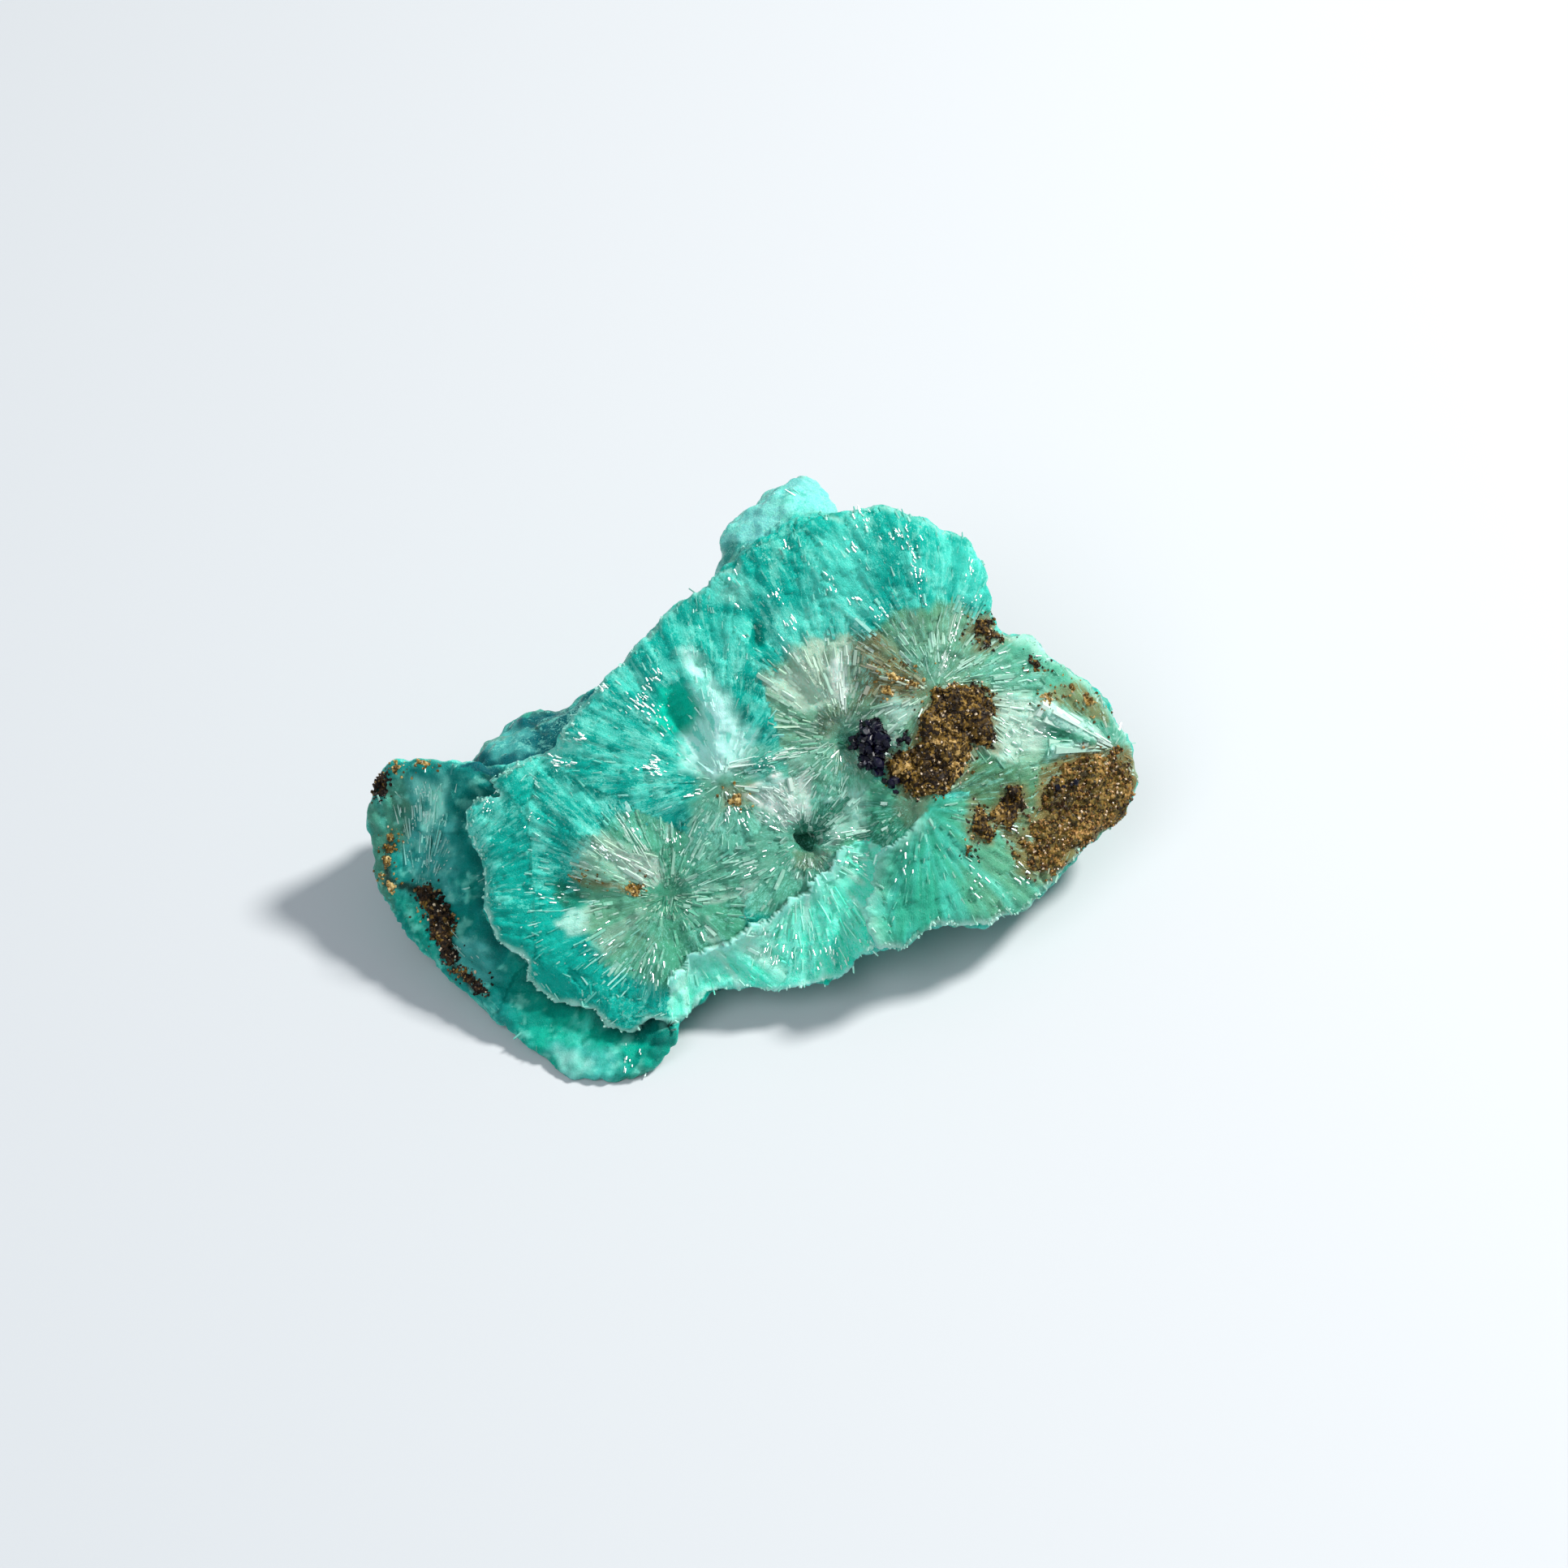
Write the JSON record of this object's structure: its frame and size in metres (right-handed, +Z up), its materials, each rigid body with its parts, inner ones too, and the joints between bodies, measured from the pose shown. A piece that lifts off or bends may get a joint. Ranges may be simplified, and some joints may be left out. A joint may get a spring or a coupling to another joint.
{
  "type": "raw smithsonite",
  "caption": "Rough blue-green mineral specimen with a broad sloping face of radiating fibre fans, brown crusts and dark blue crystals, resting on a flat base.",
  "frame": {"origin": "on the floor, under the middle of the bounding box", "axes": "+X along the stone's length towards the brown tip, +Y from the front ledge to the back, +Z up"},
  "size_m": [0.0662, 0.0462, 0.031],
  "materials": {
    "fibrous_mass": "translucent fibrous mineral with a glassy lustre, turquoise at the rim and sage green in the fans",
    "brown_crust": "granular druse with small glints",
    "seam_crust": "dull dark brown grains",
    "blue_crystals": "glossy small faceted crystals"
  },
  "bodies": {
    "root": {"fibrous_mass": "fibrous_mass", "brown_crust_centre": "brown_crust", "brown_crust_tip": "brown_crust", "brown_crust_seam": "seam_crust", "blue_crystals": "blue_crystals"}
  },
  "joints": []
}
